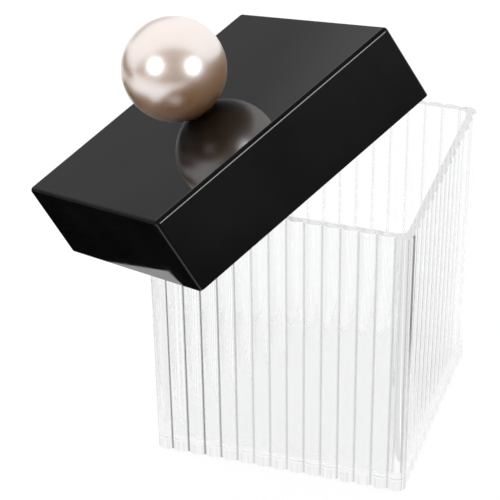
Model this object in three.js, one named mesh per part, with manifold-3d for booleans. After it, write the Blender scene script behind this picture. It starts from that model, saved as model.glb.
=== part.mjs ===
// A cotton swab box: a clear ribbed box that is open at the top, and its black lid with a pearl
// knob, which is lifted off and tilted over the box's front left corner.
// Millimetres, +Z up. The origin is the middle of the box's underside, and its front faces -Y.

import * as THREE from 'three';
import { mergeVertices } from 'three/addons/utils/BufferGeometryUtils.js';
import Module from 'manifold-3d';

const wasm = await Module();
wasm.setup();

// Shared by several pieces
const seatGap = 0.3; // between two pieces that rest on or run inside each other
const cutOverrun = 5; // how far a cutting shape runs past what it cuts
const arcSteps = 4; // straight steps round a quarter of a small fillet
const roundSides = 32; // sides of the turned pieces

// Clear box
const boxWidth = 75; // across the rib crests, at the rim
const boxHeight = 84;
const boxDraft = 0.8; // how far each side comes in at the base
const boxWall = 2.5; // from rib crest to inner face, at the rim
const floorThickness = 3.5;
const floorFillet = 1.5; // round the foot of the inner walls
const innerCornerRadius = 2.5;
const ribsPerSide = 15; // with the round rib at each of its two corners
const ribDepth = 1;
const ribSteps = 6;
const cornerRibSteps = 12;

// Black lid, a shell that slips over the outside of the box
const lidClearance = 0.3; // each side, round the rib crests
const lidWall = 1.2;
const lidHeight = 21.3;
const lidTop = 2;
const lidCornerRadius = 1.2;
const lidEdgeRadius = 1.1; // round the top's edges
const lidInnerCornerRadius = 0.5;

// Pearl knob
const pearlDiameter = 27;
const pearlSeatDepth = 0.6; // how much of the ball its flat seat takes off
const pearlRings = 20;

// Threaded bush in the pearl, and the screw and washer that hold the pearl to the lid
const bushDiameter = 6;
const bushLength = 7;
const bushGrooveWidth = 1.4;
const bushGrooveDepth = 0.4;
const screwDiameter = 4;
const screwThreadPitch = 0.7;
const screwThreadDepth = 0.4;
const screwTipGap = 0.7; // from the screw's tip to the top of the bush
const screwHeadDiameter = 7.6;
const screwHeadHeight = 2.6;
const screwHeadRounding = 1.1;
const crossSlotLength = 4.2;
const crossSlotWidth = 0.9;
const crossSlotDepth = 1.4;
const washerDiameter = 9;
const washerThickness = 0.8;

// How the lid lies: turned, then pitched, then rolled, with its far left wall over the box's rim
const lidTurn = THREE.MathUtils.degToRad(56.3);
const lidPitch = THREE.MathUtils.degToRad(-21.7);
const lidRoll = THREE.MathUtils.degToRad(-22.5);
const rimTouchShare = 0.425; // of the box's width, in front of the middle of its left wall
const lidTouchShare = 0.142; // of the lid's width, from the middle of that wall of the lid

// Worked out from the sizes above
const quarterTurn = Math.PI / 2;
const ribPitch = boxWidth / ribsPerSide;
const ribRadius = (ribDepth ** 2 + (ribPitch / 2) ** 2) / (2 * ribDepth);
const cornerRibRadius = ribPitch + ribDepth - Math.sqrt(2 * ribPitch * ribDepth);
const lidWidth = boxWidth + 2 * (lidClearance + lidWall);
const pearlRadius = pearlDiameter / 2;
const pearlSeatRadius = Math.sqrt(pearlRadius ** 2 - (pearlRadius - pearlSeatDepth) ** 2);
const screwHoleRadius = screwDiameter / 2 + seatGap;

// Turns a closed geometry into a solid that can be cut and joined.
function solidOf(geometry) {
  const bare = new THREE.BufferGeometry();
  bare.setAttribute('position', geometry.getAttribute('position'));
  if (geometry.index) bare.setIndex(geometry.index);
  const merged = mergeVertices(bare);
  const corners = merged.index.array;
  const kept = [];
  for (let i = 0; i < corners.length; i += 3) {
    const [a, b, c] = corners.slice(i, i + 3);
    if (a !== b && b !== c && c !== a) kept.push(a, b, c);
  }
  return new wasm.Manifold(new wasm.Mesh({
    numProp: 3,
    vertProperties: new Float32Array(merged.getAttribute('position').array),
    triVerts: new Uint32Array(kept),
  }));
}

// Turns a solid into a named mesh.
function meshOf(name, solid, material) {
  const { vertProperties, triVerts } = solid.getMesh();
  const geometry = new THREE.BufferGeometry();
  geometry.setAttribute('position', new THREE.BufferAttribute(vertProperties, 3));
  geometry.setIndex(new THREE.BufferAttribute(triVerts, 1));
  geometry.computeVertexNormals();
  const mesh = new THREE.Mesh(geometry, material);
  mesh.name = name;
  return mesh;
}

// An arc's points without its last one, which the next stretch of the outline starts with.
function arcPoints(centre, radius, from, to, steps) {
  const arc = new THREE.EllipseCurve(centre.x, centre.y, radius, radius, from, to);
  return arc.getPoints(steps).slice(0, -1);
}

// The box's outline at the rim: a square of convex ribs with a rounder one at each corner.
function ribbedOutline() {
  const points = [];
  const ribReach = Math.asin(ribPitch / 2 / ribRadius);
  const cornerPlace = boxWidth / 2 - cornerRibRadius;
  const grooveInset = boxWidth / 2 - ribDepth;
  const grooveEnd = boxWidth / 2 - ribPitch;
  const cornerFrom = Math.atan2(cornerPlace - grooveInset, grooveEnd - cornerPlace);
  const cornerTo = Math.atan2(cornerPlace - grooveEnd, grooveInset - cornerPlace);
  for (let side = 0; side < 4; side += 1) {
    const turn = side * quarterTurn;
    const middle = new THREE.Vector2();
    for (let rib = 1; rib < ribsPerSide - 1; rib += 1) {
      const along = (rib - (ribsPerSide - 1) / 2) * ribPitch;
      const centre = new THREE.Vector2(along, ribRadius - boxWidth / 2).rotateAround(middle, turn);
      const from = turn - quarterTurn - ribReach;
      points.push(...arcPoints(centre, ribRadius, from, from + 2 * ribReach, ribSteps));
    }
    const corner = new THREE.Vector2(cornerPlace, -cornerPlace).rotateAround(middle, turn);
    const from = turn + cornerFrom;
    const to = turn + cornerTo;
    points.push(...arcPoints(corner, cornerRibRadius, from, to, cornerRibSteps));
  }
  return new THREE.Shape(points);
}

function roundedSquare(width, cornerRadius) {
  const points = [];
  const place = width / 2 - cornerRadius;
  for (let side = 0; side < 4; side += 1) {
    const turn = side * quarterTurn;
    const corner = new THREE.Vector2(place, -place).rotateAround(new THREE.Vector2(), turn);
    const arc = new THREE.EllipseCurve(
      corner.x, corner.y, cornerRadius, cornerRadius, turn - quarterTurn, turn,
    );
    points.push(...arc.getPoints(arcSteps));
  }
  return new THREE.Shape(points);
}

// A square block with upright rounded corners and its ends rounded by edgeRadius.
function roundedBlock(width, cornerRadius, edgeRadius, bottom, top) {
  const block = new THREE.ExtrudeGeometry(roundedSquare(width, cornerRadius), {
    depth: top - bottom - 2 * edgeRadius,
    bevelEnabled: edgeRadius > 0,
    bevelSize: edgeRadius,
    bevelThickness: edgeRadius,
    bevelOffset: -edgeRadius,
    bevelSegments: arcSteps,
  });
  return block.translate(0, 0, bottom + edgeRadius);
}

// Draws a shape in towards the box's axis, evenly from the rim down to the base.
function withDraft(geometry) {
  const place = geometry.getAttribute('position');
  for (let i = 0; i < place.count; i += 1) {
    const inward = (boxDraft / (boxWidth / 2)) * (1 - place.getZ(i) / boxHeight);
    place.setXY(i, place.getX(i) * (1 - inward), place.getY(i) * (1 - inward));
  }
  return geometry;
}

// A shape turned round the Z axis from its half outline, given as [radius, height] pairs.
function turned(outline) {
  const profile = outline.map(([radius, height]) => new THREE.Vector2(radius, height));
  return new THREE.LatheGeometry(profile, roundSides).rotateX(quarterTurn);
}

function cylinder(radius, bottom, top) {
  const round = new THREE.CylinderGeometry(radius, radius, top - bottom, roundSides);
  return round.rotateX(quarterTurn).translate(0, 0, (top + bottom) / 2);
}

function boxBody() {
  const outside = new THREE.ExtrudeGeometry(ribbedOutline(), {
    depth: boxHeight, bevelEnabled: false,
  });
  const inside = roundedBlock(
    boxWidth - 2 * boxWall, innerCornerRadius, floorFillet, floorThickness, boxHeight + cutOverrun,
  );
  return solidOf(withDraft(outside)).subtract(solidOf(withDraft(inside)));
}

// The lid and what is fixed to it are drawn with the middle of the lid's top face at the origin.
function lidShell() {
  const block = roundedBlock(
    lidWidth, lidCornerRadius, lidEdgeRadius, -lidHeight - cutOverrun, 0,
  );
  const below = new THREE.BoxGeometry(2 * lidWidth, 2 * lidWidth, 2 * cutOverrun);
  below.translate(0, 0, -lidHeight - cutOverrun);
  const hollow = roundedBlock(
    lidWidth - 2 * lidWall, lidInnerCornerRadius, 0, -lidHeight - cutOverrun, -lidTop,
  );
  return solidOf(block)
    .subtract(solidOf(below))
    .subtract(solidOf(hollow))
    .subtract(solidOf(cylinder(screwHoleRadius, -lidTop - cutOverrun, cutOverrun)));
}

// A ball with a flat seat and a blind bore for the bush.
function pearlKnob() {
  const boreRadius = bushDiameter / 2 + seatGap;
  const boreEnd = bushLength + seatGap;
  const centreHeight = pearlRadius - pearlSeatDepth;
  const seatAngle = Math.atan2(-centreHeight, pearlSeatRadius);
  const outline = [[0, boreEnd], [boreRadius, boreEnd], [boreRadius, 0]];
  for (let ring = 0; ring < pearlRings; ring += 1) {
    const angle = THREE.MathUtils.lerp(seatAngle, quarterTurn, ring / pearlRings);
    const height = centreHeight + pearlRadius * Math.sin(angle);
    outline.push([pearlRadius * Math.cos(angle), ring === 0 ? 0 : height]);
  }
  outline.push([0, centreHeight + pearlRadius]);
  return solidOf(turned(outline).translate(0, 0, seatGap));
}

// A metal bush, grooved round its middle so that it holds in the pearl.
function threadedBush() {
  const outside = bushDiameter / 2;
  const grooveBottom = (bushLength - bushGrooveWidth) / 2;
  const grooveTop = (bushLength + bushGrooveWidth) / 2;
  const outline = [
    [screwHoleRadius, 0],
    [outside, 0],
    [outside, grooveBottom],
    [outside - bushGrooveDepth, grooveBottom],
    [outside - bushGrooveDepth, grooveTop],
    [outside, grooveTop],
    [outside, bushLength],
    [screwHoleRadius, bushLength],
    [screwHoleRadius, 0],
  ];
  return solidOf(turned(outline).translate(0, 0, seatGap));
}

function knobWasher() {
  const top = -lidTop - seatGap;
  const ring = cylinder(washerDiameter / 2, top - washerThickness, top);
  const hole = cylinder(screwHoleRadius, top - washerThickness - cutOverrun, top + cutOverrun);
  return solidOf(ring).subtract(solidOf(hole));
}

// A pan head screw from under the lid. Its thread is a row of rings, one for each turn.
function knobScrew() {
  const underHead = -lidTop - seatGap - washerThickness - seatGap;
  const headBottom = underHead - screwHeadHeight;
  const tip = seatGap + bushLength - screwTipGap;
  const crest = screwDiameter / 2;
  const root = crest - screwThreadDepth;
  const headRadius = screwHeadDiameter / 2;
  const turns = Math.floor((tip - seatGap) / screwThreadPitch);
  const outline = [[0, headBottom]];
  for (let step = 0; step <= arcSteps; step += 1) {
    const angle = (step / arcSteps) * quarterTurn;
    outline.push([
      headRadius - screwHeadRounding * (1 - Math.sin(angle)),
      headBottom + screwHeadRounding * (1 - Math.cos(angle)),
    ]);
  }
  outline.push([headRadius, underHead], [crest, underHead]);
  const threadStart = tip - turns * screwThreadPitch;
  for (let turn = 0; turn < turns; turn += 1) {
    const bottom = threadStart + turn * screwThreadPitch;
    outline.push([crest, bottom], [root, bottom + screwThreadPitch / 2]);
  }
  outline.push([root, tip], [0, tip]);
  const slot = (length, width) => solidOf(
    new THREE.BoxGeometry(length, width, 2 * crossSlotDepth).translate(0, 0, headBottom),
  );
  return solidOf(turned(outline))
    .subtract(slot(crossSlotLength, crossSlotWidth))
    .subtract(slot(crossSlotWidth, crossSlotLength));
}

const clearPlastic = new THREE.MeshStandardMaterial({
  color: 0xf4f6f7, roughness: 0.05, metalness: 0, transparent: true, opacity: 0.3,
});
const blackPlastic = new THREE.MeshStandardMaterial({
  color: 0x0b0b0c, roughness: 0.08, metalness: 0,
});
const pearlCoat = new THREE.MeshStandardMaterial({
  color: 0xe6d6cb, roughness: 0.25, metalness: 0.1,
});
const brass = new THREE.MeshStandardMaterial({ color: 0xb5914a, roughness: 0.35, metalness: 1 });
const zincSteel = new THREE.MeshStandardMaterial({
  color: 0xb9bcc0, roughness: 0.3, metalness: 1,
});

const lid = new THREE.Group();
lid.add(
  meshOf('lid_shell', lidShell(), blackPlastic),
  meshOf('pearl_knob', pearlKnob(), pearlCoat),
  meshOf('knob_bush', threadedBush(), brass),
  meshOf('knob_washer', knobWasher(), zincSteel),
  meshOf('knob_screw', knobScrew(), zincSteel),
);

// The lower inner edge of the lid's far left wall passes just over the rim of the box's left wall.
lid.rotation.set(lidRoll, lidPitch, lidTurn, 'ZYX');
const onRim = new THREE.Vector3(-boxWidth / 2, -rimTouchShare * boxWidth, boxHeight + seatGap);
const onLid = new THREE.Vector3(-lidTouchShare * lidWidth, lidWidth / 2 - lidWall, -lidHeight);
lid.position.copy(onRim.sub(onLid.applyEuler(lid.rotation)));

const swabBox = new THREE.Group();
swabBox.add(meshOf('box_body', boxBody(), clearPlastic), lid);

export default swabBox;
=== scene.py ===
"""A square clear box for cotton swabs, and its black lid with a pearl knob, taken off and tilted.

Every length is in metres and every angle in radians unless its name says otherwise. The origin
is the middle of the box's underside, +Z points up out of its mouth and -Y out of its front.
"""

import logging
import math
from collections.abc import Callable
from dataclasses import dataclass, field
from enum import Enum

import bmesh
import bpy
from mathutils import Euler, Matrix, Vector


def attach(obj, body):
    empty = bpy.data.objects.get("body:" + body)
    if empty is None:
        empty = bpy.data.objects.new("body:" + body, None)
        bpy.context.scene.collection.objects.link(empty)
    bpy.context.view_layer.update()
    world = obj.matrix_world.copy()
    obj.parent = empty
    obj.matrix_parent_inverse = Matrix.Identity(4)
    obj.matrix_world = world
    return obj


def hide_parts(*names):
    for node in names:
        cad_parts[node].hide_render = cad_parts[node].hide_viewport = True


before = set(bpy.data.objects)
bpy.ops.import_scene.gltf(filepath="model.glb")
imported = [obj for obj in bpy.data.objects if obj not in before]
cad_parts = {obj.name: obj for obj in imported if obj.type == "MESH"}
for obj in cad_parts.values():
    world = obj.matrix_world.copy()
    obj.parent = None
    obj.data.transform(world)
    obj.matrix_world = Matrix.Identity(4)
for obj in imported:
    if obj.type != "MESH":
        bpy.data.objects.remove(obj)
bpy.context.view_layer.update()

log = logging.getLogger("swab_box")

MM = 0.001
QUARTER_TURN = math.pi / 2
HAIR = 1e-6  # closer than this, two places are the same place
NEAR = 0.01 * MM  # how far a part may lie from the height that it is picked by
SQUARE_ON = 0.99  # a face looks along an axis if its normal has this much of it

MeshPart = bmesh.types.BMVert | bmesh.types.BMEdge | bmesh.types.BMFace
Node = bpy.types.Node
Socket = bpy.types.NodeSocket
Pair = tuple[float, float]
Triple = tuple[float, float, float]


class Body(Enum):
    """The two bodies that pieces ride on."""

    BOX = "box"
    LID = "lid"


class Slot(Enum):
    """The record's material slots."""

    CLEAR = "clear_plastic"
    BLACK = "black_plastic"
    PEARL = "pearl_coat"
    BRASS = "bush_brass"
    STEEL = "zinc_steel"


class Workpiece:
    """A mesh on the bench. Operators shape it, and its parts are picked by place or normal."""

    def __init__(self, name: str) -> None:
        """Takes up the primitive that was added last, with its place put into its mesh.

        Args:
            name: The name that the object gets.
        """
        self.thing = bpy.context.object
        self.thing.name = name
        self.settle()

    def settle(self) -> None:
        """Puts the object's place, turn and scale into its mesh."""
        self.choose()
        bpy.ops.object.transform_apply(location=True, rotation=True, scale=True)

    def choose(self) -> None:
        """Makes this the only selected object, and the active one."""
        bpy.ops.object.select_all(action="DESELECT")
        self.thing.select_set(True)
        bpy.context.view_layer.objects.active = self.thing

    def open(self) -> None:
        """Starts edit mode on this object, with all of its points selected."""
        self.choose()
        bpy.ops.object.mode_set(mode="EDIT")
        bpy.ops.mesh.select_mode(type="VERT")
        bpy.ops.mesh.select_all(action="SELECT")

    def close(self) -> None:
        """Goes back to object mode."""
        bpy.ops.object.mode_set(mode="OBJECT")

    def pick(self, kind: str, test: Callable[[MeshPart], bool]) -> None:
        """Selects the points, edges or faces that pass a test, and nothing else.

        Args:
            kind: VERT, EDGE or FACE.
            test: Says whether one of them is wanted.

        Raises:
            ValueError: If none passes, because the next operator would then do nothing.
        """
        bpy.ops.mesh.select_mode(type=kind)
        bpy.ops.mesh.select_all(action="DESELECT")
        mesh = bmesh.from_edit_mesh(self.thing.data)
        mesh.normal_update()
        group = {"VERT": mesh.verts, "EDGE": mesh.edges, "FACE": mesh.faces}[kind]
        wanted = [part for part in group if test(part)]
        if not wanted:
            raise ValueError(f"nothing to pick on {self.thing.name}")
        for part in wanted:
            part.select_set(True)
        mesh.select_flush_mode()
        bmesh.update_edit_mesh(self.thing.data)

    def pick_level_faces(self, height: float, up: bool) -> None:
        """Picks the level faces at one height that look up or down.

        Args:
            height: Their height.
            up: Whether they look up.
        """
        sign = 1 if up else -1
        self.pick("FACE", lambda f: sign * f.normal.z > SQUARE_ON
                  and abs(f.calc_center_median().z - height) < NEAR)

    def pick_upright_edges(self, least: float) -> None:
        """Picks the edges that rise by at least this much."""
        self.pick("EDGE", lambda e: abs(e.verts[0].co.z - e.verts[1].co.z) > least)

    def pick_edges_at(self, height: float) -> None:
        """Picks the edges that lie at one height."""
        self.pick("EDGE", lambda e: all(abs(v.co.z - height) < NEAR for v in e.verts))

    def draw_in(self, factor: float) -> None:
        """Scales what is selected towards the Z axis."""
        bpy.ops.transform.resize(value=(factor, factor, 1), center_override=(0, 0, 0))

    def pull(self, rise: float) -> None:
        """Extrudes the selected faces straight up, or down where rise is negative."""
        bpy.ops.mesh.extrude_region_move(TRANSFORM_OT_translate={"value": (0, 0, rise)})

    def round_off(self, radius: float, steps: int, affect: str = "EDGES") -> None:
        """Bevels the selected edges or points round."""
        bpy.ops.mesh.bevel(offset=radius, segments=steps, profile=0.5, affect=affect)

    def draw_arc(self, start: Vector, middle: Vector, angle: float, steps: int) -> None:
        """Draws an arc about an upright axis by spinning one point, in edit mode.

        Args:
            start: Where the arc starts.
            middle: A point on the axis.
            angle: How far it goes, anticlockwise seen from above.
            steps: Its straight steps.
        """
        bpy.ops.mesh.select_all(action="DESELECT")
        bpy.ops.mesh.primitive_plane_add(size=MM, location=start)
        bpy.ops.mesh.merge(type="CENTER")
        bpy.ops.mesh.spin(steps=steps, angle=-angle, center=middle, axis=(0, 0, 1))

    def modify(self, kind: str, **settings: object) -> None:
        """Adds a modifier and applies it.

        Args:
            kind: The modifier's type.
            settings: Values for its own properties.
        """
        self.choose()
        change = self.thing.modifiers.new(kind, kind)
        for name, value in settings.items():
            setattr(change, name, value)
        bpy.ops.object.modifier_apply(modifier=change.name)

    def cut_by(self, cutter: "Workpiece") -> None:
        """Takes a cutter's shape out of this one, and throws the cutter away."""
        self.modify("BOOLEAN", operation="DIFFERENCE", solver="EXACT", object=cutter.thing)
        bpy.data.objects.remove(cutter.thing)

    def soften(self, radius: float, steps: int, least_angle: float) -> None:
        """Rounds every edge that is sharper than an angle."""
        self.modify("BEVEL", width=radius, segments=steps, limit_method="ANGLE",
                    angle_limit=least_angle, use_clamp_overlap=True)

    def clean(self) -> None:
        """Welds doubled points and turns every face outwards."""
        self.open()
        bpy.ops.mesh.remove_doubles(threshold=HAIR)
        bpy.ops.mesh.normals_make_consistent(inside=False)
        self.close()

    def smooth(self, angle: float) -> None:
        """Shades smooth across every edge flatter than an angle, with large faces left flat."""
        self.choose()
        bpy.ops.object.shade_smooth_by_angle(angle=angle)
        self.modify("WEIGHTED_NORMAL", weight=100, keep_sharp=True)

    def coat_picked(self, finish: "Finish") -> None:
        """Gives the selected faces a finish of their own."""
        self.thing.data.materials.append(finish.material())
        self.thing.active_material_index = len(self.thing.data.materials) - 1
        bpy.ops.object.material_slot_assign()

    def lay(self, place: Matrix) -> None:
        """Moves the mesh to its place, with the object left at the origin."""
        self.thing.matrix_world = place
        self.settle()

    def dress(self, finish: "Finish", body: Body, slot: Slot, *nodes: str) -> None:
        """Gives the piece its material and body, and lets it stand for its solids.

        Args:
            finish: Its finish.
            body: The body it rides on.
            slot: The record's slot for that finish. Not used.
            nodes: The solids it stands for.
        """
        self.thing.data.materials.clear()
        self.thing.data.materials.append(finish.material())
        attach(self.thing, body.value)
        if nodes:
            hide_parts(*nodes)
        log.info("%s: %d faces", self.thing.name, len(self.thing.data.polygons))


class Recipe:
    """A material's or a world's node tree, built node by node."""

    def __init__(self, tree: bpy.types.NodeTree) -> None:
        """Empties a node tree to start from."""
        self.tree = tree
        self.tree.nodes.clear()

    def add(self, kind: str, inputs: dict[str | int, object] | None = None,
            **settings: object) -> Node:
        """Adds a node.

        Args:
            kind: The node's type, without its ShaderNode prefix.
            inputs: What its inputs get, as for fill.
            settings: Values for the node's own properties.

        Returns:
            The node.
        """
        node = self.tree.nodes.new(f"ShaderNode{kind}")
        for name, value in settings.items():
            setattr(node, name, value)
        self.fill(node, inputs or {})
        return node

    def fill(self, node: Node, inputs: dict[str | int, object]) -> None:
        """Links outputs to a node's inputs, or sets the inputs.

        Args:
            node: The node.
            inputs: An output, a number or three numbers for each input, by its name or number.
        """
        for key, value in inputs.items():
            socket = node.inputs[key]
            if isinstance(value, Socket):
                self.tree.links.new(value, socket)
            else:
                socket.default_value = (*value, 1) if socket.type == "RGBA" else value

    def math(self, operation: str, *values: object) -> Socket:
        """Adds a Math node.

        Args:
            operation: Its operation.
            values: Its inputs, each a number or an output socket.

        Returns:
            Its output.
        """
        return self.add("Math", dict(enumerate(values)), operation=operation).outputs[0]

    def dot(self, way: Socket,
            other: Triple) -> Socket:
        """Gives the dot product of a direction and a fixed one."""
        return self.add("VectorMath", {0: way, 1: other}, operation="DOT_PRODUCT").outputs["Value"]

    def product(self, first: Socket,
                *others: Socket) -> Socket:
        """Multiplies two or more values."""
        for other in others:
            first = self.math("MULTIPLY", first, other)
        return first

    def noise(self, scale: float, detail: float, stretch: Triple = (1, 1, 1),
              turn: Triple = (0, 0, 0)) -> Socket:
        """Adds a noise that is fixed to the piece.

        Args:
            scale: Its cells to the metre.
            detail: Its octaves.
            stretch: Scales of the piece's axes.
            turn: Turns of the piece's axes.

        Returns:
            The noise's value.
        """
        mapping = self.add("Mapping", {"Vector": self.add("TexCoord").outputs["Object"],
                                       "Scale": stretch, "Rotation": turn})
        node = self.add("TexNoise", {"Vector": mapping.outputs["Vector"],
                                     "Scale": scale, "Detail": detail})
        return node.outputs["Fac"]

    def spread(self, value: Socket, low: float, high: float,
               start: float = 0.3, end: float = 0.7) -> Socket:
        """Maps a value from start...end to low...high.

        Args:
            value: The value.
            low: What it gives at the start.
            high: What it gives at the end.
            start: Where it starts to change.
            end: Where it stops changing.

        Returns:
            The mapped value.
        """
        node = self.add("MapRange", {"Value": value, "From Min": start, "From Max": end,
                                     "To Min": low, "To Max": high})
        return node.outputs["Result"]

    def blend(self, factor: Socket, first: object,
              second: object) -> Socket:
        """Mixes two colours by a factor.

        Args:
            factor: 0 for the first, 1 for the second.
            first: A colour or an output socket.
            second: A colour or an output socket.

        Returns:
            The mixed colour.
        """
        return self.add("Mix", {"Factor": factor, 6: first, 7: second},
                        data_type="RGBA").outputs[2]

    def choose(self, factor: Socket, first: object,
               second: object) -> Socket:
        """Mixes two values by a factor.

        Args:
            factor: 0 for the first, 1 for the second.
            first: A number or an output socket.
            second: A number or an output socket.

        Returns:
            The mixed value.
        """
        return self.add("Mix", {"Factor": factor, "A": first, "B": second},
                        data_type="FLOAT").outputs["Result"]

    def bump(self, height: Socket, depth: float,
             under: Socket | None = None) -> Socket:
        """Adds a bump of a real depth.

        Args:
            height: The pattern, from 0 to 1.
            depth: How high 1 stands.
            under: The bumped normal that it is added to, if there is one.

        Returns:
            The bumped normal.
        """
        inputs = {"Height": height, "Distance": depth}
        if under is not None:
            inputs["Normal"] = under
        return self.add("Bump", inputs).outputs["Normal"]


def new_material(name: str) -> tuple[bpy.types.Material, Recipe]:
    """Makes a material with an empty node tree.

    Args:
        name: Its name.

    Returns:
        The material, and the recipe that fills its tree.
    """
    material = bpy.data.materials.new(name)
    material.use_nodes = True
    return material, Recipe(material.node_tree)


@dataclass(frozen=True)
class Finish:
    """A finish. Each kind names its own numbers and mixes its own material."""

    name: str

    def material(self) -> bpy.types.Material:
        """Makes the material once, and gives the same one to every piece that asks.

        Returns:
            The material.
        """
        made = bpy.data.materials.get(self.name)
        if made is None:
            made, recipe = new_material(self.name)
            shader = recipe.add("BsdfPrincipled")
            output = recipe.add("OutputMaterial", {"Surface": shader.outputs["BSDF"]})
            self.mix(recipe, shader, output)
        return made

    def mix(self, recipe: Recipe, shader: Node, output: Node) -> None:
        """Sets the shader's values and patterns."""
        raise NotImplementedError


@dataclass(frozen=True)
class ClearPlastic(Finish):
    """Water-clear moulded plastic, polished outside and slightly wavy where it cooled."""

    name: str = "clear moulded plastic"
    tint: Triple = (0.962, 0.965, 0.967)
    absorbed: Triple = (0.9, 0.9, 0.9)
    absorption: float = 14.0  # per metre
    ior: float = 1.49
    haze: float = 0.02  # the most roughness that the polish leaves
    wave_depth: float = 0.0025 * MM
    ripple_depth: float = 0.0001 * MM
    height: float = 84 * MM
    base_share: float = 0.9787  # the base's width as a share of the rim's
    slab: float = 3.5 * MM
    slab_fade: Pair = (-0.2 * MM, 0.2 * MM)  # from the slab's top
    # painted shade on the base slab
    painted_slab_shade: Triple = (0.74, 0.743, 0.746)
    groove_bottom: float = 36.5 * MM  # from the middle of the box, at the rim
    groove_inside: Pair = (-0.9 * MM, -0.6 * MM)  # from the bottom
    groove_outside: Pair = (0.1 * MM, 0.4 * MM)  # from the bottom
    groove_end: Pair = (-0.3 * MM, -0.15 * MM)  # from the rim
    groove_dull: float = 0.25
    # painted shade in the grooves
    painted_groove_shade: Triple = (0.5, 0.505, 0.51)
    far_side_share: float = 0.1  # how much of the dullness and of the painted shade the back and left grooves have
    painted_deep_groove_shade: Triple = (0.06, 0.062, 0.064)  # painted deeper shade of the grooves on the left
    deep_shade_reach: Pair = (-20 * MM, -8 * MM)  # where the deeper painted shade fades out
    right_side: Pair = (34.5 * MM, 35.2 * MM)  # where the right side starts
    right_side_share: float = 0.35  # how much of the deeper painted shade the right side has
    # painted shade in a level line round the foot
    painted_foot_shade: Triple = (0.55, 0.555, 0.56)
    foot_shade_height: float = 4.2 * MM
    foot_shade_edge: Pair = (0.1 * MM, 0.2 * MM)  # from the painted line's middle
    foot_shade_depth: Pair = (-1.6 * MM, -1.4 * MM)  # from the grooves' bottom
    # painted shade in a line down the near right corner's rib
    painted_corner_shade: Triple = (0.05, 0.052, 0.054)
    corner_shade_line: Pair = (37.0 * MM, -35.5 * MM)  # at the rim
    corner_shade_skin: Pair = (-0.1 * MM, 0)  # from the line, outwards
    corner_shade_edge: Pair = (0.45 * MM, 0.7 * MM)  # from the line's middle
    corner_shade_fade: Pair = (34 * MM, 52 * MM)  # where it fades towards the base
    corner_shade_least: float = 0.35  # how much of it is left at the base

    @staticmethod
    def beside(place: float, offsets: Pair) -> Pair:
        """Gives the two places at these offsets from one."""
        return place + offsets[0], place + offsets[1]

    @staticmethod
    def strip(recipe: Recipe, value: Socket, middle: float,
              edge: Pair) -> Socket:
        """Gives 1 where a value is close to the middle, and fades to 0 across the edge."""
        away = recipe.math("ABSOLUTE", recipe.math("SUBTRACT", value, middle))
        return recipe.spread(away, 1, 0, *edge)

    @staticmethod
    def across(recipe: Recipe, split: Node) -> Socket:
        """Finds how far a place lies from the box's middle, square to the nearest side."""
        return recipe.math("MAXIMUM", recipe.math("ABSOLUTE", split.outputs["X"]),
                           recipe.math("ABSOLUTE", split.outputs["Y"]))

    def taper(self, recipe: Recipe, split: Node) -> Socket:
        """Finds the box's width at a place's height, as a share of the rim's."""
        return recipe.spread(split.outputs["Z"], self.base_share, 1, 0, self.height)

    def grooves(self, recipe: Recipe, split: Node) -> Socket:
        """Finds the grooves between the ribs, where the mould's polish doesn't reach and where
        shade is painted.

        Args:
            recipe: The material's node tree.
            split: The place on the box as separate numbers.

        Returns:
            1 in the grooves and 0 elsewhere.
        """
        out = recipe.math("DIVIDE", self.across(recipe, split), self.taper(recipe, split))
        inside = recipe.spread(out, 0, 1, *self.beside(self.groove_bottom, self.groove_inside))
        outside = recipe.spread(out, 1, 0, *self.beside(self.groove_bottom, self.groove_outside))
        below = recipe.spread(split.outputs["Z"], 1, 0, *self.beside(self.height, self.groove_end))
        side = recipe.spread(recipe.math("SUBTRACT", split.outputs["X"], split.outputs["Y"]),
                             self.far_side_share, 1, -MM, MM)
        return recipe.product(inside, outside, below, side)

    def foot_shade(self, recipe: Recipe, split: Node) -> Socket:
        """Finds a level line of painted shade round the foot of the box.

        Args:
            recipe: The material's node tree.
            split: The place on the box as separate numbers.

        Returns:
            1 on the line, broken up by noise, and 0 elsewhere.
        """
        level = self.strip(recipe, split.outputs["Z"], self.foot_shade_height, self.foot_shade_edge)
        outer = recipe.spread(self.across(recipe, split), 0, 1,
                              *self.beside(self.groove_bottom, self.foot_shade_depth))
        patchy = recipe.spread(recipe.noise(260, 2), 0, 1, 0.4, 0.6)
        return recipe.product(level, outer, patchy)

    def corner_shade(self, recipe: Recipe, split: Node) -> Socket:
        """Finds an upright line of painted shade down the round rib of the near right corner.

        Args:
            recipe: The material's node tree.
            split: The place on the box as separate numbers.

        Returns:
            1 on the line, less towards the base, and 0 elsewhere.
        """
        taper = self.taper(recipe, split)
        out, along = self.corner_shade_line
        outer = recipe.spread(recipe.math("DIVIDE", split.outputs["X"], taper), 0, 1,
                              *self.beside(out, self.corner_shade_skin))
        line = self.strip(recipe, recipe.math("DIVIDE", split.outputs["Y"], taper), along,
                          self.corner_shade_edge)
        fade = recipe.spread(split.outputs["Z"], self.corner_shade_least, 1, *self.corner_shade_fade)
        return recipe.product(outer, line, fade)

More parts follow.
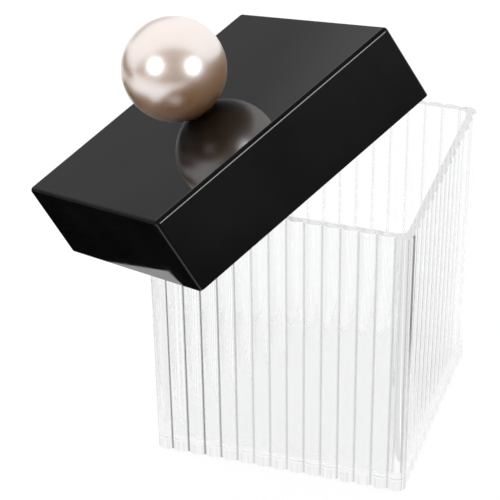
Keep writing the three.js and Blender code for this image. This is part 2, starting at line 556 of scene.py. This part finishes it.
    def mix(self, recipe: Recipe, shader: Node, output: Node) -> None:
        """Sets a refracting surface with flow waves, dull grooves and the plastic's faint grey,
        with shade painted into the grooves, onto the base slab, in a line round the foot and in a
        line down the near right corner.
        """
        split = recipe.add("SeparateXYZ", {0: recipe.add("TexCoord").outputs["Object"]})
        groove = self.grooves(recipe, split)
        # the base slab gets painted shade, broken into streaks
        low = recipe.spread(split.outputs["Z"], 1, 0, *self.beside(self.slab, self.slab_fade))
        streaks = recipe.spread(recipe.noise(1400, 1, (1, 1, 0.03)), 0, 1)
        tint = recipe.blend(recipe.product(low, streaks), self.tint, self.painted_slab_shade)
        # painted shade in a level line round the foot
        tint = recipe.blend(self.foot_shade(recipe, split), tint, self.painted_foot_shade)
        # painted shade in a line down the near right corner
        tint = recipe.blend(self.corner_shade(recipe, split), tint, self.painted_corner_shade)
        # the grooves on the left, and partly those on the right side, get a deeper painted shade
        deep_shade = recipe.math("MAXIMUM", recipe.spread(split.outputs["X"], 1, 0, *self.deep_shade_reach),
                           recipe.spread(split.outputs["X"], 0, self.right_side_share,
                                         *self.right_side))
        # the grooves' colour is painted shade, deeper on the left
        line = recipe.blend(deep_shade, self.painted_groove_shade, self.painted_deep_groove_shade)
        waves = recipe.bump(recipe.noise(160, 2, (1, 1, 0.12)), self.wave_depth)
        polish = recipe.spread(recipe.noise(70, 3, (1, 1, 0.25)), 0, self.haze)
        recipe.fill(shader, {
            "IOR": self.ior, "Transmission Weight": 1.0,
            "Base Color": recipe.blend(groove, tint, line),
            "Roughness": recipe.choose(groove, polish, self.groove_dull),
            "Normal": recipe.bump(recipe.noise(900, 1, (1, 1, 0.3)), self.ripple_depth, waves)})
        volume = recipe.add("VolumeAbsorption",
                            {"Color": self.absorbed, "Density": self.absorption})
        recipe.fill(output, {"Volume": volume.outputs["Volume"]})


@dataclass(frozen=True)
class BlackPlastic(Finish):
    """Piano-black moulded plastic with a mirror gloss."""

    name: str = "piano black plastic"
    black: Triple = (0.0018, 0.0018, 0.0019)
    patchy: Triple = (0.006, 0.006, 0.0062)
    ior: float = 1.49
    specular: float = 0.5
    gloss: float = 0.02
    swirl: float = 0.05
    flow_depth: float = 0.0012 * MM

    def mix(self, recipe: Recipe, shader: Node, output: Node) -> None:
        """Sets the black, faint hairline haze and a hardly visible flow of the surface."""
        clouds = recipe.spread(recipe.noise(45, 4), 0, 1)
        hairs = recipe.noise(240, 5, (1, 0.08, 1), (0.4, 0.3, 0.9))
        recipe.fill(shader, {
            "IOR": self.ior, "Specular IOR Level": self.specular,
            "Base Color": recipe.blend(clouds, self.black, self.patchy),
            "Roughness": recipe.spread(hairs, self.gloss, self.swirl, 0.45, 0.8),
            "Normal": recipe.bump(recipe.noise(70, 1), self.flow_depth)})


@dataclass(frozen=True)
class PearlCoat(Finish):
    """Pearlescent lacquer: pale mica flakes that gleam over a warm brown ground."""

    name: str = "champagne pearl"
    flake: Triple = (0.87, 0.94, 1.0)
    pale_flake: Triple = (0.9, 0.955, 1.0)
    ground: Triple = (0.9, 0.36, 0.06)
    pale_ground: Triple = (0.93, 0.42, 0.11)
    flake_share: float = 0.72
    flake_gloss: Pair = (0.3, 0.36)
    flow_depth: float = 0.004 * MM

    def mix(self, recipe: Recipe, shader: Node, output: Node) -> None:
        """Sets the flakes' soft gleam, mixed with the warm ground that shows between them."""
        surface = recipe.bump(recipe.noise(120, 2), self.flow_depth)
        clouds = recipe.spread(recipe.noise(90, 4), 0, 1)
        recipe.fill(shader, {
            "Metallic": 1.0, "Base Color": recipe.blend(clouds, self.flake, self.pale_flake),
            "Roughness": recipe.spread(recipe.noise(150, 3), *self.flake_gloss),
            "Normal": surface})
        base = recipe.add("BsdfPrincipled", {
            "Base Color": recipe.blend(clouds, self.ground, self.pale_ground), "Roughness": 0.35,
            "IOR": 1.5, "Coat Weight": 0.3, "Coat Roughness": 0.25, "Normal": surface})
        both = recipe.add("MixShader", {"Fac": 1 - self.flake_share, 1: shader.outputs["BSDF"],
                                        2: base.outputs["BSDF"]})
        recipe.fill(output, {"Surface": both.outputs["Shader"]})


@dataclass(frozen=True)
class TurnedMetal(Finish):
    """Bare or plated metal, mottled, with fine marks all over."""

    name: str = "turned metal"
    bright: Triple = (0.72, 0.73, 0.75)
    dull: Triple = (0.6, 0.61, 0.63)
    smoothest: float = 0.18
    roughest: float = 0.36
    mark_depth: float = 0.004 * MM

    def mix(self, recipe: Recipe, shader: Node, output: Node) -> None:
        """Sets a metal with mottled brightness, uneven gloss and fine marks."""
        clouds = recipe.spread(recipe.noise(500, 3), 0, 1)
        recipe.fill(shader, {
            "Metallic": 1.0, "Base Color": recipe.blend(clouds, self.bright, self.dull),
            "Roughness": recipe.spread(recipe.noise(900, 4), self.smoothest, self.roughest),
            "Normal": recipe.bump(recipe.noise(4000, 2), self.mark_depth)})


@dataclass
class ClearBox:
    """The clear box: one moulding with convex ribs outside and smooth walls inside."""

    width: float = 75 * MM  # across the rib crests, at the rim
    height: float = 84 * MM
    draft: float = 0.8 * MM  # how far each side comes in at the base
    wall: float = 2.5 * MM  # from rib crest to inner face, at the rim
    floor: float = 3.5 * MM
    floor_fillet: float = 1.5 * MM
    inner_corner: float = 2.5 * MM
    ribs_per_side: int = 15
    rib_depth: float = 1 * MM
    rib_steps: int = 24
    groove_radius: float = 0.16 * MM
    edge_radius: float = 0.12 * MM
    overrun: float = 5 * MM
    finish: Finish = field(default_factory=ClearPlastic)

    @property
    def pitch(self) -> float:
        """From one rib to the next."""
        return self.width / self.ribs_per_side

    @property
    def rib_radius(self) -> float:
        """Of the arc through a rib's crest and its two grooves."""
        return (self.rib_depth ** 2 + (self.pitch / 2) ** 2) / (2 * self.rib_depth)

    @property
    def corner_radius(self) -> float:
        """Of the round rib on each corner, which meets both sides' crests."""
        return self.pitch + self.rib_depth - math.sqrt(2 * self.pitch * self.rib_depth)

    def narrowing(self, height: float) -> float:
        """How much of the rim's width is left at a height."""
        return 1 - self.draft / (self.width / 2) * (1 - height / self.height)

    def outline(self) -> Workpiece:
        """Draws the box's ribbed outline at the rim as one flat face.

        Returns:
            The flat piece.
        """
        bpy.ops.mesh.primitive_plane_add(size=self.pitch, location=(0, 0, self.height))
        piece = Workpiece("clear_box")
        piece.open()
        bpy.ops.mesh.delete(type="VERT")
        groove = self.rib_depth - self.width / 2
        reach = math.asin(self.pitch / 2 / self.rib_radius)
        end = self.width / 2 - self.pitch
        start = Vector((-end, groove, self.height))
        middle = Vector((self.pitch / 2 - end, self.rib_radius - self.width / 2, self.height))
        piece.draw_arc(start, middle, 2 * reach, self.rib_steps)
        piece.close()
        piece.modify("ARRAY", count=self.ribs_per_side - 2, use_relative_offset=False,
                     use_constant_offset=True, constant_offset_displace=(self.pitch, 0, 0))
        piece.open()
        corner = self.width / 2 - self.corner_radius
        across = corner - end
        bend = 3 * QUARTER_TURN - 2 * math.atan2(-groove - corner, across)
        piece.draw_arc(Vector((end, groove, self.height)),
                       Vector((corner, -corner, self.height)), bend, 2 * self.rib_steps)
        bpy.ops.mesh.select_all(action="SELECT")
        bpy.ops.mesh.spin(steps=3, dupli=True, angle=3 * QUARTER_TURN,
                          center=(0, 0, 0), axis=(0, 0, 1))
        bpy.ops.mesh.select_all(action="SELECT")
        bpy.ops.mesh.remove_doubles(threshold=10 * HAIR)
        bpy.ops.mesh.select_all(action="SELECT")
        bpy.ops.mesh.edge_face_add()
        piece.pick("VERT", lambda v: abs(max(abs(v.co.x), abs(v.co.y)) + groove) < 10 * HAIR)
        piece.round_off(self.groove_radius, 3, "VERTICES")
        return piece

    def cavity(self) -> Workpiece:
        """Makes the shape of the inside, a block with rounded upright and floor edges.

        Returns:
            The block, which reaches out past the rim.
        """
        top = self.height + self.overrun
        side = self.width - 2 * self.wall
        bpy.ops.mesh.primitive_cube_add(
            size=1, location=(0, 0, (self.floor + top) / 2), scale=(side, side, top - self.floor))
        block = Workpiece("inside")
        block.open()
        block.pick_level_faces(self.floor, up=False)
        block.draw_in(self.narrowing(self.floor))
        block.pick_level_faces(top, up=True)
        block.draw_in(self.narrowing(top))
        block.pick_upright_edges(self.height / 2)
        block.round_off(self.inner_corner, 10)
        block.pick_edges_at(self.floor)
        block.round_off(self.floor_fillet, 6)
        block.close()
        return block

    def build(self) -> None:
        """Builds the box and dresses it."""
        piece = self.outline()
        piece.pick("FACE", lambda f: True)
        piece.pull(-self.height)
        piece.draw_in(self.narrowing(0))
        piece.close()
        piece.clean()
        piece.cut_by(self.cavity())
        piece.soften(self.edge_radius, 2, math.radians(60))
        piece.smooth(math.radians(35))
        piece.dress(self.finish, Body.BOX, Slot.CLEAR, "box_body")


@dataclass
class LidPose:
    """How the lid lies: turned, then pitched, then rolled, about the middle of its top face."""

    turn: float = math.radians(56.3)
    pitch: float = math.radians(-21.7)
    roll: float = math.radians(-22.5)
    box_width: float = 75 * MM
    box_height: float = 84 * MM
    rim_touch_share: float = 0.425  # of the box's width, in front of the middle of its left wall
    lid_touch_share: float = 0.142  # of the lid's width, from the middle of that wall of the lid
    gap: float = 0.3 * MM

    def place(self, lid: "SlipLid") -> Matrix:
        """Works out where the lid's far left wall passes just over the box's left rim.

        Args:
            lid: The lid's sizes.

        Returns:
            The place and turn of the lid's own frame.
        """
        turned = Euler((self.roll, self.pitch, self.turn), "XYZ").to_matrix()
        on_rim = Vector((-self.box_width / 2, -self.rim_touch_share * self.box_width,
                         self.box_height + self.gap))
        on_lid = Vector((-self.lid_touch_share * lid.width, lid.width / 2 - lid.wall, -lid.height))
        return Matrix.Translation(on_rim - turned @ on_lid) @ turned.to_4x4()


@dataclass
class SlipLid:
    """The black lid, a shell that slips over the outside of the box."""

    width: float = 78 * MM
    wall: float = 1.2 * MM
    height: float = 21.3 * MM
    top: float = 2 * MM
    corner_radius: float = 1.2 * MM
    edge_radius: float = 1.1 * MM
    inner_corner: float = 0.5 * MM
    inner_fillet: float = 0.4 * MM
    lip_radius: float = 0.12 * MM
    screw_hole: float = 2.3 * MM  # radius
    overrun: float = 5 * MM
    finish: Finish = field(default_factory=BlackPlastic)
    edge_finish: Finish = field(default_factory=lambda: BlackPlastic(
        "unpolished black edge", specular=0.05, gloss=0.3, swirl=0.4))

    def is_dull(self, face: bmesh.types.BMFace) -> bool:
        """Tells the faces of the rounded outer edges that the polish left dull.

        Args:
            face: A face of the shell at the origin.

        Returns:
            Whether it is one: the upper part of the top's edge, or either side of an upright edge.
        """
        middle = face.calc_center_median()
        if face.normal.z > 0.35:
            return face.normal.z < SQUARE_ON and middle.z > -self.edge_radius
        least, most = sorted((abs(face.normal.x), abs(face.normal.y)))
        outside = max(abs(middle.x), abs(middle.y)) > self.width / 2 - self.wall / 2
        return outside and 0.1 < least < 0.6 and most < SQUARE_ON and abs(face.normal.z) < 0.1

    def hollow(self) -> Workpiece:
        """Makes the shape of the hollow.

        Returns:
            The block, which reaches out past the lip.
        """
        side = self.width - 2 * self.wall
        low = -self.height - self.overrun
        bpy.ops.mesh.primitive_cube_add(
            size=1, location=(0, 0, (low - self.top) / 2), scale=(side, side, -self.top - low))
        block = Workpiece("hollow")
        block.open()
        block.pick_upright_edges(self.height / 2)
        block.round_off(self.inner_corner, 6)
        block.pick_edges_at(-self.top)
        block.round_off(self.inner_fillet, 4)
        block.close()
        return block

    def build(self, place: Matrix) -> None:
        """Builds the shell at the origin, then lays it in its place.

        Args:
            place: The place of the middle of its top face.
        """
        bpy.ops.mesh.primitive_cube_add(
            size=1, location=(0, 0, -self.height / 2), scale=(self.width, self.width, self.height))
        piece = Workpiece("black_lid")
        piece.open()
        piece.pick_upright_edges(self.height / 2)
        piece.round_off(self.corner_radius, 10)
        piece.pick_edges_at(0)
        piece.round_off(self.edge_radius, 8)
        piece.close()
        piece.cut_by(self.hollow())
        piece.open()
        piece.pick_edges_at(-self.height)
        piece.round_off(self.lip_radius, 2)
        piece.close()
        bpy.ops.mesh.primitive_cylinder_add(
            vertices=64, radius=self.screw_hole, depth=2 * self.overrun, location=(0, 0, 0))
        piece.cut_by(Workpiece("screw hole"))
        piece.smooth(math.radians(30))
        piece.dress(self.finish, Body.LID, Slot.BLACK, "lid_shell")
        piece.open()
        piece.pick("FACE", self.is_dull)
        piece.coat_picked(self.edge_finish)
        piece.close()
        piece.lay(place)


@dataclass
class PearlKnob:
    """The ball that the lid is lifted by, with a flat seat and a bore for its bush."""

    diameter: float = 27 * MM
    seat_depth: float = 0.6 * MM  # how much of the ball its flat seat takes off
    bush_diameter: float = 6 * MM
    bush_length: float = 7 * MM
    gap: float = 0.3 * MM
    seat_edge: float = 0.2 * MM
    finish: Finish = field(default_factory=PearlCoat)

    def build(self, place: Matrix) -> None:
        """Builds the ball on the lid's top face, then lays it in its place.

        Args:
            place: The place of the middle of the lid's top face.
        """
        radius = self.diameter / 2
        bpy.ops.mesh.primitive_uv_sphere_add(
            segments=96, ring_count=64, radius=radius,
            location=(0, 0, self.gap + radius - self.seat_depth))
        piece = Workpiece("pearl_ball")
        piece.open()
        bpy.ops.mesh.bisect(plane_co=(0, 0, self.gap), plane_no=(0, 0, 1), threshold=HAIR,
                            clear_inner=True, use_fill=True)
        bpy.ops.mesh.select_all(action="SELECT")
        bpy.ops.mesh.normals_make_consistent(inside=False)
        seat_radius = math.sqrt(radius ** 2 - (radius - self.seat_depth) ** 2)
        piece.pick_level_faces(self.gap, up=False)
        bpy.ops.mesh.inset(thickness=seat_radius - self.bush_diameter / 2 - self.gap)
        piece.pull(self.bush_length + self.gap)
        piece.close()
        piece.clean()
        piece.soften(self.seat_edge, 3, math.radians(60))
        piece.smooth(math.radians(40))
        piece.lay(place)
        piece.dress(self.finish, Body.LID, Slot.PEARL, "pearl_knob")


@dataclass
class KnobFixing:
    """The bush in the pearl, and the screw and washer under the lid that hold it down."""

    lid_top: float = 2 * MM
    gap: float = 0.3 * MM
    bush_diameter: float = 6 * MM
    bush_length: float = 7 * MM
    groove_width: float = 1.4 * MM
    groove_depth: float = 0.4 * MM
    screw_diameter: float = 4 * MM
    thread_pitch: float = 0.7 * MM
    thread_depth: float = 0.4 * MM
    tip_gap: float = 0.7 * MM
    head_diameter: float = 7.6 * MM
    head_height: float = 2.6 * MM
    head_rounding: float = 1.1 * MM
    slot_length: float = 4.2 * MM
    slot_width: float = 0.9 * MM
    slot_depth: float = 1.4 * MM
    washer_diameter: float = 9 * MM
    washer_thickness: float = 0.8 * MM
    edge_radius: float = 0.1 * MM
    sides: int = 64
    steel: Finish = field(default_factory=lambda: TurnedMetal("bright zinc plate"))
    brass: Finish = field(default_factory=lambda: TurnedMetal(
        "turned brass", (0.75, 0.58, 0.3), (0.62, 0.46, 0.22), 0.22, 0.4))

    @property
    def hole_radius(self) -> float:
        """Of the hole that the screw passes through in the lid, washer and bush."""
        return self.screw_diameter / 2 + self.gap

    def disc(self, name: str, radius: float, low: float, high: float) -> Workpiece:
        """Adds a cylinder on the knob's axis.

        Args:
            name: Its name.
            radius: Its radius.
            low: The height of its lower end.
            high: The height of its upper end.

        Returns:
            The cylinder.
        """
        bpy.ops.mesh.primitive_cylinder_add(
            vertices=self.sides, radius=radius, depth=high - low,
            location=(0, 0, (low + high) / 2))
        return Workpiece(name)

    def build_bush(self, place: Matrix) -> None:
        """Builds the brass bush, grooved round its middle."""
        low, high = self.gap, self.gap + self.bush_length
        radius = self.bush_diameter / 2
        piece = self.disc("brass_bush", radius, low, high)
        piece.open()
        middle = (low + high) / 2
        for level in (middle - self.groove_width / 2, middle + self.groove_width / 2):
            bpy.ops.mesh.select_all(action="SELECT")
            bpy.ops.mesh.bisect(plane_co=(0, 0, level), plane_no=(0, 0, 1), threshold=HAIR)
        piece.pick("FACE", lambda f: abs(f.calc_center_median().z - middle) < 0.1 * MM)
        bpy.ops.mesh.extrude_region_move()
        piece.draw_in(1 - self.groove_depth / radius)
        piece.close()
        piece.cut_by(self.disc("bore", self.hole_radius, low - self.gap, high + self.gap))
        self.finish_turned(piece, place)
        piece.dress(self.brass, Body.LID, Slot.BRASS, "knob_bush")

    def build_washer(self, place: Matrix) -> None:
        """Builds the washer that spreads the screw's head over the lid."""
        high = -self.lid_top - self.gap
        low = high - self.washer_thickness
        piece = self.disc("plain_washer", self.washer_diameter / 2, low, high)
        piece.cut_by(self.disc("bore", self.hole_radius, low - self.gap, high + self.gap))
        self.finish_turned(piece, place)
        piece.dress(self.steel, Body.LID, Slot.STEEL, "knob_washer")

    def build_screw(self, place: Matrix) -> None:
        """Builds the pan head screw with its rings of thread and its cross slot."""
        under_head = -self.lid_top - 2 * self.gap - self.washer_thickness
        head_bottom = under_head - self.head_height
        tip = self.gap + self.bush_length - self.tip_gap
        crest = self.screw_diameter / 2
        piece = self.disc("pan_head_screw", self.head_diameter / 2, head_bottom, under_head)
        piece.open()
        piece.pick_level_faces(under_head, up=True)
        bpy.ops.mesh.inset(thickness=self.head_diameter / 2 - crest)
        turns = int((tip - self.gap) / self.thread_pitch)
        piece.pull(tip - turns * self.thread_pitch - under_head)
        root_share = 1 - self.thread_depth / crest
        for _ in range(turns):
            piece.pull(self.thread_pitch / 2)
            piece.draw_in(root_share)
            piece.pull(self.thread_pitch / 2)
            piece.draw_in(1 / root_share)
        piece.draw_in(root_share)
        piece.pick_edges_at(head_bottom)
        piece.round_off(self.head_rounding, 6)
        piece.close()
        for turn in (0, QUARTER_TURN):
            bpy.ops.mesh.primitive_cube_add(
                size=1, location=(0, 0, head_bottom), rotation=(0, 0, turn),
                scale=(self.slot_length, self.slot_width, 2 * self.slot_depth))
            piece.cut_by(Workpiece("slot"))
        piece.smooth(math.radians(30))
        piece.lay(place)
        piece.dress(self.steel, Body.LID, Slot.STEEL, "knob_screw")

    def finish_turned(self, piece: Workpiece, place: Matrix) -> None:
        """Rounds a turned piece's rims, shades it and lays it in its place."""
        piece.soften(self.edge_radius, 2, math.radians(60))
        piece.smooth(math.radians(30))
        piece.lay(place)

    def build(self, place: Matrix) -> None:
        """Builds the three pieces."""
        self.build_bush(place)
        self.build_washer(place)
        self.build_screw(place)


@dataclass
class Lamp:
    """A round softbox that looks at the object."""

    name: str
    bearing: float  # from the camera's heading, clockwise seen from above
    height_angle: float
    distance: float
    radius: float
    radiance: float

    def build(self, target: Vector, heading: float) -> None:
        """Adds the lamp.

        Args:
            target: What it looks at.
            heading: The camera's heading, anticlockwise from +Y.
        """
        turn = self.bearing - heading
        level = math.cos(self.height_angle)
        away = Vector((math.sin(turn) * level, math.cos(turn) * level,
                       math.sin(self.height_angle)))
        data = bpy.data.lights.new(self.name, "AREA")
        data.shape = "DISK"
        data.size = 2 * self.radius
        data.energy = self.radiance * math.pi * math.pi * self.radius ** 2
        lamp = bpy.data.objects.new(self.name, data)
        lamp.location = target + away * self.distance
        lamp.rotation_euler = away.to_track_quat("Z", "Y").to_euler()
        lamp.visible_camera = False
        bpy.context.scene.collection.objects.link(lamp)
        log.info("lamp %s", self.name)


@dataclass
class Card:
    """A sheet of dark or pale card on the studio's floor, wider away from its near edge."""

    name: str
    near: Pair  # the middle of its near edge
    bearing: float  # where it leads from there, anticlockwise from +X
    length: float
    near_width: float
    far_width: float
    tone: float
    in_gloss: bool  # whether it shows in gloss, or else only through the clear plastic
    lift: float = 2 * MM

    def build(self) -> None:
        """Lays the card down."""
        bpy.ops.mesh.primitive_plane_add(size=1, location=(0.5, 0, 0))
        bpy.context.object.scale = (1, self.far_width, 1)
        sheet = Workpiece(self.name)
        sheet.open()
        sheet.pick("EDGE", lambda e: all(v.co.x < HAIR for v in e.verts))
        sheet.draw_in(self.near_width / self.far_width)
        sheet.close()
        sheet.lay(Matrix.Translation((*self.near, self.lift))
                  @ Matrix.Rotation(self.bearing, 4, "Z")
                  @ Matrix.Diagonal((self.length, 1, 1, 1)))
        material, recipe = new_material(self.name)
        paper = recipe.add("Emission", {"Color": (self.tone,) * 3})
        either = recipe.add("MixShader", {"Fac": 0, 1: paper.outputs["Emission"],
                                          2: recipe.add("BsdfTransparent").outputs["BSDF"]})
        if self.in_gloss:
            path = recipe.add("LightPath")
            recipe.fill(either, {"Fac": path.outputs["Is Transmission Ray"]})
        recipe.add("OutputMaterial", {"Surface": either.outputs["Shader"]})
        sheet.thing.data.materials.append(material)
        for sight in ("camera", "diffuse", "shadow", "volume_scatter"):
            setattr(sheet.thing, f"visible_{sight}", False)
        sheet.thing.visible_glossy = self.in_gloss


@dataclass
class Studio:
    """The pale floor, the soft studio round it, its lamps and the camera."""

    camera_place: Triple = (0.16345, -0.5632, 0.42046)
    heading: float = 0.31425384  # anticlockwise from +Y
    dip: float = 0.56129197
    tilt: float = -0.01006501
    lens: float = 175.02  # millimetres
    sensor: float = 36  # millimetres
    floor_side: float = 4.0
    floor_touch: float = 0.05 * MM  # the floor wets the box's base, so light passes between them
    floor_colour: float = 0.6
    floor_glow: float = 0.85
    shadow_share: float = 0.2
    panel_edge: float = math.radians(73)  # height angle of the panel's edge on the camera's side
    panel_fade: Pair = (-0.04, 0.04)  # across that edge
    overhead: Pair = (0.095, 0.26)  # sines of the heights where it fades in
    panel_light: float = 1.08
    room_light: float = 0.336
    horizon_light: float = 0.096
    horizon: Pair = (0.09, 0.2)  # sines of the heights between those two lights
    backdrop_foot_light: float = 0.248
    lamp_target: Triple = (-0.023, -0.049, 0.131)
    foot_bearing: float = math.radians(-20)  # from the camera's heading, clockwise
    foot_fade: Pair = (0.93, 0.97)  # cosines of the angles off that bearing
    bounces: int = 64  # light goes round inside the clear ribs many times before it leaves

    def build(self) -> None:
        """Builds the studio."""
        self.build_camera()
        self.build_floor()
        for card in (
            Card("black_card", (-0.1147, -0.0026), math.radians(216.87), 0.14, 0.27, 0.27,
                 0.003, True),
            Card("black_corner_card", (-0.066, -0.0515), math.radians(243.4), 0.06, 0.05, 0.05,
                 0.003, True),
            Card("far_card", (-0.36, 0.05), math.radians(172), 0.9, 0.4, 1.0, 0.003, True),
            Card("right_card", (0.042, -0.028), math.radians(20), 0.16, 0.002, 0.17,
                 0.8, False),
            Card("pale_card", (0.044, -0.032), math.radians(-26), 0.16, 0.002, 0.1,
                 0.78, False),
        ):
            card.build()
        self.build_world()
        for lamp in (
            Lamp("left softbox", math.radians(-135), math.radians(27.5), 1.0, 0.2, 8.0),
            Lamp("right softbox", math.radians(131), math.radians(25), 1.0, 0.2, 8.0),
        ):
            lamp.build(Vector(self.lamp_target), self.heading)
        scene = bpy.context.scene
        scene.view_settings.view_transform = "Standard"
        scene.cycles.max_bounces = self.bounces
        scene.cycles.transmission_bounces = self.bounces
        scene.cycles.glossy_bounces = self.bounces

    def build_camera(self) -> None:
        """Adds the camera at the photograph's viewing angle."""
        data = bpy.data.cameras.new("camera")
        data.lens = self.lens
        data.sensor_width = self.sensor
        data.clip_start = 0.01
        data.clip_end = 100
        camera = bpy.data.objects.new("camera", data)
        turn = (Matrix.Rotation(self.heading, 4, "Z")
                @ Matrix.Rotation(QUARTER_TURN - self.dip, 4, "X")
                @ Matrix.Rotation(self.tilt, 4, "Z"))
        camera.matrix_world = Matrix.Translation(self.camera_place) @ turn
        bpy.context.scene.collection.objects.link(camera)
        bpy.context.scene.camera = camera

    def build_floor(self) -> None:
        """Adds the floor. Seen directly or in the plastic it is white, with the shadow kept."""
        bpy.ops.mesh.primitive_plane_add(size=self.floor_side, location=(0, 0, self.floor_touch))
        floor = Workpiece("studio_floor")
        material, recipe = new_material("white floor")
        path = recipe.add("LightPath").outputs
        seen = recipe.math("MAXIMUM", recipe.math(
            "MAXIMUM", path["Is Camera Ray"], path["Is Glossy Ray"]), path["Is Transmission Ray"])
        plain = recipe.add("BsdfDiffuse", {"Color": (self.floor_colour,) * 3})
        shaded = recipe.add("BsdfDiffuse", {"Color": (self.shadow_share,) * 3})
        glow = recipe.add("Emission", {"Strength": self.floor_glow})
        both = recipe.add("AddShader", {0: shaded.outputs["BSDF"], 1: glow.outputs["Emission"]})
        choice = recipe.add("MixShader", {"Fac": seen, 1: plain.outputs["BSDF"],
                                          2: both.outputs["Shader"]})
        recipe.add("OutputMaterial", {"Surface": choice.outputs["Shader"]})
        floor.thing.data.materials.append(material)

    def build_world(self) -> None:
        """Adds the surroundings: white overhead and behind, dim in front and low down behind."""
        world = bpy.data.worlds.new("studio")
        bpy.context.scene.world = world
        world.use_nodes = True
        recipe = Recipe(world.node_tree)
        place = recipe.add("TexCoord").outputs["Generated"]
        slope = math.sin(self.panel_edge)
        normal = (-math.sin(self.heading) * slope, math.cos(self.heading) * slope,
                  math.cos(self.panel_edge))
        height = recipe.add("SeparateXYZ", {0: place}).outputs["Z"]
        behind = recipe.spread(recipe.dot(place, normal), 0, 1, *self.panel_fade)
        above = recipe.spread(height, 0, 1, *self.overhead)
        front = recipe.spread(height, self.horizon_light, self.room_light, *self.horizon)
        turn = self.foot_bearing - self.heading
        facing = recipe.dot(place, (math.sin(turn), math.cos(turn), 0))
        ahead = recipe.spread(facing, 0, 1, *self.foot_fade)
        foot = recipe.choose(ahead, self.panel_light, self.backdrop_foot_light)
        low = recipe.choose(behind, front, foot)
        dome = recipe.choose(recipe.product(behind, above), low, self.panel_light)
        path = recipe.add("LightPath").outputs
        seen = recipe.math("MAXIMUM", path["Is Camera Ray"], path["Is Transmission Ray"])
        light = recipe.add("Background", {"Color": (1, 1, 1),
                                          "Strength": recipe.choose(seen, dome, 1.0)})
        recipe.add("OutputWorld", {"Surface": light.outputs["Background"]})


def main() -> None:
    """Builds the box, the lid with its knob, and the studio round them."""
    logging.basicConfig(level=logging.INFO, format="%(message)s")
    Studio().build()
    ClearBox().build()
    lid = SlipLid()
    place = LidPose().place(lid)
    lid.build(place)
    PearlKnob().build(place)
    KnobFixing().build(place)


if __name__ == "__main__":
    main()
